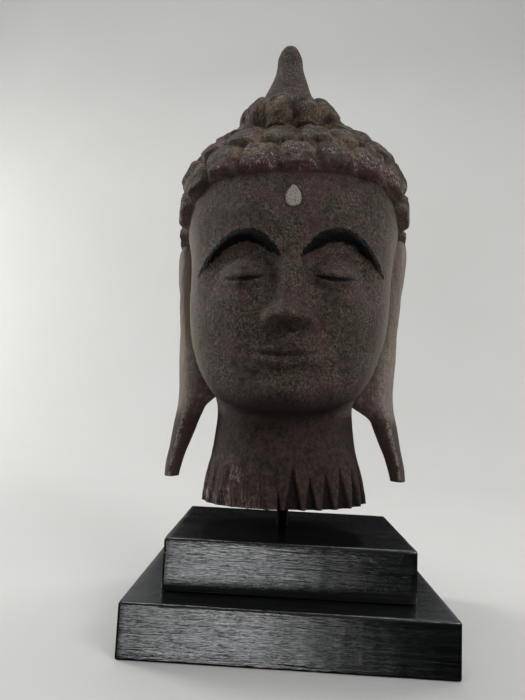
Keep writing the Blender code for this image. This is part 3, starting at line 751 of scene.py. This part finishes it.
def joined(base, steps):
    """The mesh of base after each Boolean step, given as an operation and a mesh."""
    body = add_object("body", base)
    helpers = []
    for number, (operation, mesh) in enumerate(steps):
        helper = add_object(f"helper_{number}", mesh)
        boolean = body.modifiers.new(helper.name, "BOOLEAN")
        boolean.operation = operation
        boolean.object = helper
        helpers.append(helper)
    bpy.context.view_layer.update()
    result = bpy.data.meshes.new_from_object(body.evaluated_get(bpy.context.evaluated_depsgraph_get()))
    for helper in helpers + [body]:
        bpy.data.objects.remove(helper)
    return result


def carry_marks(mesh, points, marks):
    """Gives each vertex the marks of the nearest of the points."""
    tree = KDTree(len(points))
    for index, point in enumerate(points):
        tree.insert(point, index)
    tree.balance()
    nearest = [tree.find(vert.co)[1] for vert in mesh.vertices]
    for name, values in marks.items():
        layer = mesh.attributes.new(name, "FLOAT", "POINT")
        layer.data.foreach_set("value", values[nearest].astype(np.float32))


def keep_inside(mesh, node):
    """Presses what stands out of the solid's box back to it."""
    low, high = (np.array(corner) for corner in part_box(node))
    places = np.empty(3 * len(mesh.vertices), np.float32)
    mesh.vertices.foreach_get("co", places)
    mesh.vertices.foreach_set("co", np.clip(places.reshape(-1, 3), low, high).ravel())


def round_bar(diameter, low, high):
    """An upright bar at the rod's place, from low to high."""
    bm = bmesh.new()
    size = {"radius1": diameter / 2, "radius2": diameter / 2, "depth": high - low}
    bmesh.ops.create_cone(bm, cap_ends=True, segments=BORE_SIDES, **size)
    bmesh.ops.translate(bm, vec=(ROD_OFFSET, 0, (low + high) / 2), verts=bm.verts)
    return mesh_of("bar", bm)


def build_head(finish):
    grids = [carved_grid()] + [ear_grid(*ear) for ear in EARS]
    place = head_place()
    head_mesh, ears_mesh = head_form(grids[0][0]), ears_form([points for points, _ in grids[1:]])
    head_mesh.transform(place)
    ears_mesh.transform(place)
    known = np.concatenate([points.reshape(-1, 3) for points, _ in grids])
    known = known @ np.array(place.to_3x3()).T + np.array(place.translation)
    marks = {name: np.concatenate([marks[name].ravel() for _, marks in grids]) for name in grids[0][1]}
    bore_low = NECK_FOOT - ROD_SHOWING / 2
    bore = round_bar(ROD_HIGH.x - ROD_LOW.x + 2 * FIT_GAP, bore_low, ROD_HIGH.z + FIT_GAP)
    recess = drop_form(FIT_GAP / CM, DROP_SUNK + FIT_GAP / CM, -RECESS_OUT, 0)
    recess.transform(place @ drop_place())
    mesh = joined(head_mesh, (("UNION", ears_mesh), ("DIFFERENCE", bore), ("DIFFERENCE", recess)))
    carry_marks(mesh, known, marks)
    keep_inside(mesh, "head")
    mesh.shade_smooth()
    mesh.materials.clear()
    mesh.materials.append(finish)
    add_piece("carved_head", mesh, "head")


# The drop in the forehead


def drop_outline(grow):
    """A drop's outline, pointed at the top, made larger all round by grow."""
    angle = np.linspace(0, 2 * math.pi, DROP_POINTS, endpoint=False)
    x = (DROP_WIDTH / 2) * np.sin(angle) * (1 - 0.32 * np.cos(angle))
    z = (DROP_HEIGHT / 2) * np.cos(angle)
    x *= np.where(z > 0, np.sqrt(np.clip(1 - (2 * z / DROP_HEIGHT) ** 2 * 0.35, 0, 1)), 1)
    outline = np.stack([x, z], axis=1)
    return outline * (1 + 2 * grow / np.array([DROP_WIDTH, DROP_HEIGHT]))


def drop_form(grow, back, front, dome):
    """The drop from back to front along -Y, in rings that rise to a dome in front."""
    outline = drop_outline(grow)
    rings = [(1.0, back), (1.0, front + 0.35 * dome)]
    if dome:
        shares = [math.cos(ring / DROP_RINGS * math.pi / 2) for ring in range(1, DROP_RINGS)]
        rings += [(0.15 + 0.85 * share, front - dome * (math.sqrt(1 - share**2) - 0.35)) for share in shares]
    bm = bmesh.new()
    loops = []
    for share, y in rings:
        verts = [bm.verts.new((x * share, y, z * share)) for x, z in outline]
        loops.append([bm.edges.new((verts[i - 1], verts[i])) for i in range(DROP_POINTS)])
    for lower, upper in zip(loops, loops[1:]):
        bmesh.ops.bridge_loops(bm, edges=lower + upper)
    bmesh.ops.edgeloop_fill(bm, edges=loops[0])
    bmesh.ops.edgeloop_fill(bm, edges=loops[-1])
    return mesh_of("drop", bm)


def drop_place():
    """Where the drop sits in the forehead's surface, in centimetres on the head."""
    t = ring_numbers()
    line = bare_form(t, np.zeros(1))
    line[:, 1] -= face_relief(np.zeros(len(t)), line[:, 2])
    rises = line[:, 2] > CHIN + 1
    heights = np.array([-0.5, 0, 0.5]) * DROP_HEIGHT + DROP_HEIGHT_ON_HEAD
    y = np.interp(heights, line[rises, 2], line[rises, 1])
    x = np.interp(heights[1], line[rises, 2], line[rises, 0])
    lean = math.atan2(y[2] - y[0], DROP_HEIGHT)
    return Matrix.Translation((x, y[1], heights[1])) @ Matrix.Rotation(-lean, 4, "X")


def build_drop(finish):
    mesh = drop_form(0.0, DROP_SUNK, -DROP_PROUD, DROP_DOME)
    mesh.transform(head_place() @ drop_place())
    mesh.shade_smooth()
    mesh.materials.append(finish)
    add_piece("pale_drop", mesh, "forehead_drop")


# The stand


def build_block(name, node, finish):
    """A stand block with soft, slightly worn edges, in the place of its solid."""
    low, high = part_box(node)
    size = high - low
    bm = bmesh.new()
    bmesh.ops.create_cube(bm, size=1.0)
    bmesh.ops.scale(bm, vec=size, verts=bm.verts)
    rounding = {"offset": EDGE_ROUND, "segments": EDGE_SEGMENTS, "profile": 0.6}
    bmesh.ops.bevel(bm, geom=bm.edges[:], affect="EDGES", **rounding)
    for axis in range(3):
        normal = [float(axis == i) for i in range(3)]
        cells = math.ceil(size[axis] / BLOCK_CELL)
        for cut in range(1, cells):
            at = [n * size[axis] * (cut / cells - 0.5) for n in normal]
            geometry = bm.verts[:] + bm.edges[:] + bm.faces[:]
            bmesh.ops.bisect_plane(bm, geom=geometry, plane_co=at, plane_no=normal)
    bmesh.ops.translate(bm, vec=(low + high) / 2, verts=bm.verts)
    mesh = mesh_of(name, bm)
    points = np.array([vert.co for vert in mesh.vertices])
    middle, half = np.array((low + high) / 2), np.array(size) / 2
    inset = half - np.abs(points - middle)
    two = np.sort(inset, axis=1)[:, :2]
    edge = 1 - step(0, 3 * EDGE_ROUND, two[:, 1])
    worn = edge * np.clip(noise(points, 0.006, SEED + 6) + 0.6 * noise(points, 0.0022, SEED + 8) - 0.25, 0, 1)
    points -= EDGE_WEAR * worn[:, None] * np.sign(points - middle) * (inset < 3 * EDGE_ROUND)
    for vert, point in zip(mesh.vertices, points):
        vert.co = point
    mesh.attributes.new("worn", "FLOAT", "POINT").data.foreach_set("value", worn.astype(np.float32))
    mesh.shade_smooth()
    mesh.materials.append(finish)
    add_piece(name, mesh, node)


def dress_rod(finish):
    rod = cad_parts["rod"]
    rod.data.materials.clear()
    rod.data.materials.append(finish)
    rod.data.shade_smooth()
    rod.data.set_sharp_from_angle(angle=math.radians(40))


# Finishes


class Nodes:
    """Short ways to add nodes to a tree."""

    def __init__(self, tree):
        self.tree = tree

    def wire(self, socket, value):
        if isinstance(value, bpy.types.NodeSocket):
            self.tree.links.new(value, socket)
        elif socket.type == "RGBA":
            socket.default_value = (*value, 1.0)
        else:
            socket.default_value = value

    def math(self, operation, *values):
        node = self.tree.nodes.new("ShaderNodeMath")
        node.operation = operation
        for socket, value in zip(node.inputs, values):
            self.wire(socket, value)
        return node.outputs[0]

    def all_of(self, *values):
        """The product of the values."""
        product = values[0]
        for value in values[1:]:
            product = self.math("MULTIPLY", product, value)
        return product

    def between(self, value, low, high):
        """0 up to low and 1 from high on, with a soft step between them."""
        node = self.tree.nodes.new("ShaderNodeMapRange")
        node.interpolation_type = "SMOOTHSTEP"
        self.wire(node.inputs["Value"], value)
        node.inputs["From Min"].default_value = low
        node.inputs["From Max"].default_value = high
        return node.outputs["Result"]

    def blend_value(self, share, first, second):
        node = self.tree.nodes.new("ShaderNodeMix")
        for socket, value in zip((node.inputs[0], node.inputs[2], node.inputs[3]), (share, first, second)):
            self.wire(socket, value)
        return node.outputs[0]

    def blend(self, share, first, second):
        """A colour between the first and the second."""
        node = self.tree.nodes.new("ShaderNodeMix")
        node.data_type = "RGBA"
        for socket, value in zip((node.inputs[0], node.inputs[6], node.inputs[7]), (share, first, second)):
            self.wire(socket, value)
        return node.outputs[2]


class Finish(Nodes):
    """A material being built. Scales are in lumps per metre."""

    def __init__(self, name):
        self.material = bpy.data.materials.new(name)
        self.material.use_nodes = True
        super().__init__(self.material.node_tree)
        self.shader = self.tree.nodes["Principled BSDF"]
        self.place = self.tree.nodes.new("ShaderNodeTexCoord").outputs["Object"]

    def stretched(self, scale):
        node = self.tree.nodes.new("ShaderNodeMapping")
        node.inputs["Scale"].default_value = scale
        self.wire(node.inputs["Vector"], self.place)
        return node.outputs["Vector"]

    def grain(self, scale, detail=3.0, roughness=0.55, distortion=0.0):
        """Noise from about 0.3 to 0.7. A scale of three numbers stretches it."""
        node = self.tree.nodes.new("ShaderNodeTexNoise")
        if isinstance(scale, tuple):
            self.wire(node.inputs["Vector"], self.stretched(scale))
            scale = 1.0
        else:
            self.wire(node.inputs["Vector"], self.place)
        node.inputs["Scale"].default_value = scale
        node.inputs["Detail"].default_value = detail
        node.inputs["Roughness"].default_value = roughness
        node.inputs["Distortion"].default_value = distortion
        return node.outputs["Fac"]

    def mark(self, name):
        node = self.tree.nodes.new("ShaderNodeAttribute")
        node.attribute_name = name
        return node.outputs["Fac"]

    def axis(self, name):
        node = self.tree.nodes.new("ShaderNodeSeparateXYZ")
        self.wire(node.inputs[0], self.place)
        return node.outputs[name]

    def bump(self, height, distance, normal=None):
        node = self.tree.nodes.new("ShaderNodeBump")
        node.inputs["Distance"].default_value = distance
        self.wire(node.inputs["Height"], height)
        if normal:
            self.wire(node.inputs["Normal"], normal)
        return node.outputs["Normal"]

    def finish(self, colour, roughness, normal=None):
        self.wire(self.shader.inputs["Base Color"], colour)
        self.wire(self.shader.inputs["Roughness"], roughness)
        if normal:
            self.wire(self.shader.inputs["Normal"], normal)
        return self.material


# Carved wood: its colours, then where they start and stop, in centimetres on the head or metres to a side
UMBER = (0.023, 0.016, 0.012)
BROWN = (0.082, 0.056, 0.038)
GREY_BROWN = (0.185, 0.146, 0.112)
OLIVE = (0.052, 0.043, 0.024)
PURPLE = (0.076, 0.038, 0.035)
OCHRE = (0.225, 0.155, 0.100)
# Pale grain fibres, laid thick on the sides as painted side light
PALE_FIBRE_AND_SIDE_LIGHT = (0.350, 0.297, 0.245)
LACQUER = (0.092, 0.037, 0.039)
DULL_LACQUER = (0.140, 0.076, 0.070)
# Darkest red: painted shade under the jaw, round the neck's top and in the ears' hollows, and lacquer
# deepened into painted shade in the notches
SHADE_AND_DEEP_LACQUER = (0.020, 0.009, 0.009)
# Worn white on the hem and the ears' ridges, and painted white glints on the curls and the ears' ridges
WORN_WHITE_AND_GLINT = (0.380, 0.325, 0.290)
PINK_DUST = (0.260, 0.160, 0.140)
# Black: paint on the brows, and painted shade in the slits between the lids
BROW_PAINT_AND_SLIT_SHADE = (0.003, 0.003, 0.003)
NECK_COLOUR = (NECK_TOP, NECK_TOP - 1)
HEM_COLOUR = (3.5, 0.0)
LOBE_COLOUR = (10.5, 8.5)
HAIR_FRONT = (0.056, 0.034)
DUSTY_SIDE = (-0.008, -0.035)


class CarvedWood(Finish):
    """Dry dark wood with a granular skin, worn red lacquer, pale fibres on its sides made paler as painted
    side light, painted brows, and painted shade and glints.
    """

    def __init__(self):
        super().__init__("carved wood")
        self.fine = self.grain(800, 4.0, 0.75)
        self.middle = self.grain(300, 4.0, 0.65)
        self.patch = self.grain(45, 3.0, 0.6, 0.5)
        self.tint = self.grain(80, 4.0, 0.6, 0.6)
        self.fibre = self.grain((900, 900, 38), 3.0, 0.6, 0.25)
        self.dashes = self.grain((900, 900, 330), 2.0, 0.6, 0.8)
        self.side, self.height, self.ear = self.axis("X"), self.axis("Z"), self.mark("ear")
        self.hairline, self.gap, self.facet = self.mark("hairline"), self.mark("gap"), self.mark("facet")
        self.in_hair = self.between(self.hairline, 0.0, 0.15)
        row = self.all_of(self.between(self.hairline, 0.10, 0.40), self.between(self.hairline, 2.40, 1.50))
        flecks = self.all_of(self.between(self.patch, 0.50, 0.56), self.between(self.dashes, 0.55, 0.61))
        # painted highlights: white glints on the first row's curls
        self.glints = self.all_of(row, flecks)
        ragged = self.math("MULTIPLY", self.math("SUBTRACT", self.middle, 0.44), 0.42)
        self.brow = self.between(self.math("ADD", self.mark("brow"), ragged), -0.03, 0.03)

    def below(self, high, low):
        """0 above the first height on the head and 1 below the second."""
        return self.between(self.height, NECK_FOOT + high * CM, NECK_FOOT + low * CM)

    def skin(self):
        """Dark and grey grains over brown, purple and olive patches, and pale fibres at the sides, laid on
        thick as painted side light.
        """
        colour = self.blend(self.between(self.middle, 0.38, 0.62), UMBER, BROWN)
        colour = self.blend(self.all_of(self.between(self.patch, 0.47, 0.60), 0.75), colour, PURPLE)
        colour = self.blend(self.all_of(self.between(self.patch, 0.48, 0.36), 0.6), colour, OLIVE)
        crust = self.all_of(self.between(self.fine, 0.47, 0.61), self.between(self.tint, 0.32, 0.56), 0.8)
        colour = self.blend(crust, colour, GREY_BROWN)
        bald = self.math("SUBTRACT", 1.0, self.in_hair)
        colour = self.blend(self.all_of(bald, self.between(self.fine, 0.46, 0.32), 0.6), colour, UMBER)
        # pale fibres on the sides and ears: real grain, made paler as painted side light
        streaked = self.blend_value(self.between(self.fibre, 0.34, 0.60), 0.60, 0.86)
        fibres = self.all_of(self.math("MAXIMUM", self.mark("side"), self.ear), streaked)
        return self.blend(fibres, colour, PALE_FIBRE_AND_SIDE_LIGHT)

    def hair(self, colour):
        """Ochre dust in gaps and on some curls, the first row's red lacquer, and painted white glints on the
        first row's curls.
        """
        dust = self.math("MAXIMUM", self.between(self.gap, 0.50, 0.14), self.between(self.patch, 0.51, 0.43))
        grains = self.all_of(self.between(self.tint, 0.45, 0.57), self.between(self.fine, 0.37, 0.54))
        colour = self.blend(self.all_of(self.in_hair, dust, grains), colour, OCHRE)
        front = self.between(self.math("ABSOLUTE", self.side), *HAIR_FRONT)
        band = self.all_of(self.between(self.hairline, -0.30, 0.10), self.between(self.hairline, 1.50, 0.70))
        worn = self.all_of(self.between(self.tint, 0.40, 0.52), self.between(self.middle, 0.30, 0.46))
        colour = self.blend(self.all_of(band, worn, self.blend_value(front, 0.35, 0.9)), colour, LACQUER)
        # painted highlights: white glints
        return self.blend(self.all_of(self.glints, 0.8), colour, WORN_WHITE_AND_GLINT)

    def neck(self, colour):
        """Purple-brown, dark red lacquer in the notches that deepens with their depth as painted shade, and
        pink dust at the hem on one side.
        """
        plain = self.blend(self.between(self.middle, 0.35, 0.65), UMBER, PURPLE)
        colour = self.blend(self.all_of(self.below(*NECK_COLOUR), 0.75), colour, plain)
        # red lacquer in the notches, deepened with their depth into painted shade
        colour = self.blend(self.between(self.mark("notch"), 0.02, 0.40), colour, SHADE_AND_DEEP_LACQUER)
        hem = self.all_of(self.below(*HEM_COLOUR), self.between(self.side, *DUSTY_SIDE))
        colour = self.blend(self.all_of(hem, self.between(self.fibre, 0.46, 0.60), 0.35), colour, PINK_DUST)
        fringe = self.all_of(hem, self.between(self.dashes, 0.54, 0.60), self.between(self.tint, 0.44, 0.54))
        return self.blend(fringe, colour, WORN_WHITE_AND_GLINT)

    def lobes(self, colour):
        """Dull red on the inner facets and a pale line down the ridge, part worn white and part painted
        highlight.
        """
        lobe = self.all_of(self.ear, self.below(*LOBE_COLOUR))
        inner = self.all_of(lobe, self.between(self.facet, 0.0, -0.30), self.between(self.middle, 0.30, 0.52))
        colour = self.blend(self.all_of(inner, 0.85), colour, DULL_LACQUER)
        line = self.between(self.math("ABSOLUTE", self.facet), 0.42, 0.12)
        speckled = self.all_of(self.between(self.middle, 0.42, 0.52), self.between(self.fine, 0.40, 0.53))
        # the ridge line: worn white, with a painted highlight along the arris
        return self.blend(self.all_of(lobe, line, speckled), colour, WORN_WHITE_AND_GLINT)

    def paint(self, colour):
        """Painted shade on faces that look down, round the neck's top and in the ears' hollows, black paint
        on the brows, and painted shade in the slit between the lids.
        """
        # painted shade where the under mark is set
        colour = self.blend(self.all_of(self.mark("under"), 0.42), colour, SHADE_AND_DEEP_LACQUER)
        colour = self.blend(self.brow, colour, BROW_PAINT_AND_SLIT_SHADE)
        # painted shade: black in the slit between the lids
        return self.blend(self.between(self.mark("lid"), 0.3, 0.7), colour, BROW_PAINT_AND_SLIT_SHADE)

    def roughness(self):
        """Dry all over, with a gloss on the flecks of the curls."""
        gloss = self.all_of(self.between(self.dashes, 0.55, 0.61), self.between(self.tint, 0.45, 0.53))
        shine = self.math("MAXIMUM", self.glints, self.all_of(self.in_hair, gloss))
        dry = self.math("ADD", 0.62, self.all_of(self.middle, 0.35))
        return self.math("SUBTRACT", dry, self.all_of(shine, 0.45))

    def relief(self):
        """Grains, combed hair, thick paint on the brows, and fibres that stand out most on the ears."""
        combed = self.grain((520, 520, 150), 3.0, 0.6, 0.5)
        fibres = self.math("ADD", self.all_of(self.ear, 0.8), 0.2)
        normal = self.bump(self.fine, 0.0010)
        normal = self.bump(self.middle, 0.0020, normal)
        normal = self.bump(self.all_of(combed, self.in_hair), 0.0026, normal)
        normal = self.bump(self.all_of(self.middle, self.brow), 0.0040, normal)
        return self.bump(self.all_of(self.fibre, fibres), 0.0012, normal)


def carved_wood():
    f = CarvedWood()
    colour = f.skin()
    for layer in (f.hair, f.neck, f.lobes, f.paint):
        colour = layer(colour)
    f.shader.inputs["Specular IOR Level"].default_value = 0.32
    return f.finish(colour, f.roughness(), f.relief())


def pale_inlay():
    """A pale, speckled and pitted paste."""
    f = Finish("pale inlay")
    fine = f.grain(1300, 3.0, 0.65)
    colour = f.blend(f.between(fine, 0.38, 0.60), (0.19, 0.16, 0.13), (0.50, 0.46, 0.40))
    return f.finish(colour, f.math("ADD", 0.5, f.all_of(fine, 0.3)), f.bump(fine, 0.0015))


def black_stand():
    """Satin black paint brushed on wood: streaks along the blocks, bare dots where edges are worn."""
    f = Finish("black stand")
    streaks = f.grain((30, 650, 650), 4.0, 0.6, 0.4)
    fine = f.grain((150, 1300, 1300), 2.0)
    bands = f.grain((75, 75, 14), 1.0, 0.4, 0.3)
    clouds = f.grain((18, 50, 50), 3.0)
    colour = f.blend(f.between(streaks, 0.35, 0.65), (0.0025, 0.0030, 0.0030), (0.0070, 0.0080, 0.0080))
    bare = f.all_of(f.between(f.mark("worn"), 0.35, 0.5), f.between(fine, 0.5, 0.6))
    colour = f.blend(bare, colour, (0.28, 0.24, 0.19))
    rough = f.math("ADD", 0.04, f.math("ADD", f.all_of(streaks, 0.18), f.all_of(clouds, 0.14)))
    normal = f.bump(clouds, 0.0006)
    normal = f.bump(bands, 0.00018, normal)
    normal = f.bump(streaks, 0.00018, normal)
    normal = f.bump(fine, 0.00014, normal)
    f.shader.inputs["Specular IOR Level"].default_value = 0.9
    return f.finish(colour, rough, normal)


def black_rod():
    f = Finish("black rod")
    fine = f.grain((900, 900, 200), 2.0)
    colour = f.blend(f.between(fine, 0.4, 0.6), (0.002, 0.002, 0.002), (0.006, 0.006, 0.006))
    f.shader.inputs["Specular IOR Level"].default_value = 0.08
    return f.finish(colour, f.math("ADD", 0.5, f.all_of(fine, 0.2)), f.bump(fine, 0.0001))


def pale_floor():
    f = Finish("pale floor")
    soft = f.grain(6, 2.0)
    return f.finish(f.blend(soft, (0.63, 0.625, 0.605), (0.67, 0.665, 0.65)), 0.7)


# Studio


def build_floor(finish):
    """A floor that curves up into a backdrop."""
    profile = [(FLOOR_NEAR, 0.0), (FLOOR_BEND, 0.0)]
    radius = FLOOR_FAR - FLOOR_BEND
    for part in range(1, FLOOR_PARTS + 1):
        turn = part / FLOOR_PARTS * math.pi / 2
        profile.append((FLOOR_BEND + radius * math.sin(turn), radius * (1 - math.cos(turn))))
    profile.append((FLOOR_FAR, FLOOR_TOP))
    bm = bmesh.new()
    sides = (-FLOOR_WIDTH / 2, FLOOR_WIDTH / 2)
    rows = [[bm.verts.new((x, y, z)) for x in sides] for y, z in profile]
    for lower, upper in zip(rows, rows[1:]):
        bm.faces.new((lower[0], lower[1], upper[1], upper[0]))
    mesh = mesh_of("floor", bm)
    mesh.shade_smooth()
    mesh.materials.append(finish)
    floor = add_object("floor", mesh)
    floor.visible_glossy = False


def add_lamp(name, place, target, power, width, height):
    lamp = bpy.data.lights.new(name, "AREA")
    lamp.shape = "RECTANGLE"
    lamp.size, lamp.size_y = width, height
    lamp.energy = power
    turned = (Vector(target) - Vector(place)).to_track_quat("-Z", "Y").to_matrix().to_4x4()
    add_object(name, lamp).matrix_world = Matrix.Translation(place) @ turned


def build_world():
    """Soft light all round. Below the floor, which gloss sees past, it is dark but for a window."""
    world = bpy.data.worlds.new("soft room")
    bpy.context.scene.world = world
    world.use_nodes = True
    sky = Nodes(world.node_tree)
    background = sky.tree.nodes["Background"]
    way = sky.tree.nodes.new("ShaderNodeTexCoord").outputs["Generated"]

    def facing(direction, low, high):
        """0 to 1 as the way looked at turns towards a direction."""
        dot = sky.tree.nodes.new("ShaderNodeVectorMath")
        dot.operation = "DOT_PRODUCT"
        sky.wire(dot.inputs[0], way)
        sky.wire(dot.inputs[1], direction)
        return sky.between(dot.outputs["Value"], low, high)

    above = sky.blend_value(facing(*WALL_SIDE), SKY_STRENGTH, WALL_STRENGTH)
    beside = sky.blend_value(facing(*DARK_SPOT_SIDE), DARK_STRENGTH, WALL_STRENGTH)
    above = sky.blend_value(facing(*DARK_SPOT), above, beside)
    below = sky.blend_value(facing(*WINDOW_BACK), WINDOW_STRENGTH, DARK_STRENGTH)
    for side in WINDOW_SIDES:
        below = sky.blend_value(facing(*side), DARK_STRENGTH, below)
    sky.wire(background.inputs["Color"], SKY_COLOUR)
    sky.wire(background.inputs["Strength"], sky.blend_value(facing(*LOWER_SIDE), above, below))


def build_studio():
    build_world()
    for name, lamp in LAMPS.items():
        add_lamp(name, *lamp)
    bpy.context.scene.view_settings.view_transform = "Standard"


def build_camera():
    lens = bpy.data.cameras.new("camera")
    lens.sensor_width = SENSOR
    lens.lens = SENSOR * FOCAL_PIXELS / IMAGE_HEIGHT
    camera = add_object("camera", lens)
    upright = Matrix.Rotation(math.pi / 2, 4, "X")
    camera.matrix_world = Matrix.Translation(CAMERA_PLACE) @ Euler(CAMERA_TILT).to_matrix().to_4x4() @ upright
    bpy.context.scene.camera = camera


build_head(carved_wood())
build_drop(pale_inlay())
stand = black_stand()
build_block("stand_upper", "plinth_upper", stand)
build_block("stand_lower", "plinth_lower", stand)
dress_rod(black_rod())
build_floor(pale_floor())
build_studio()
build_camera()
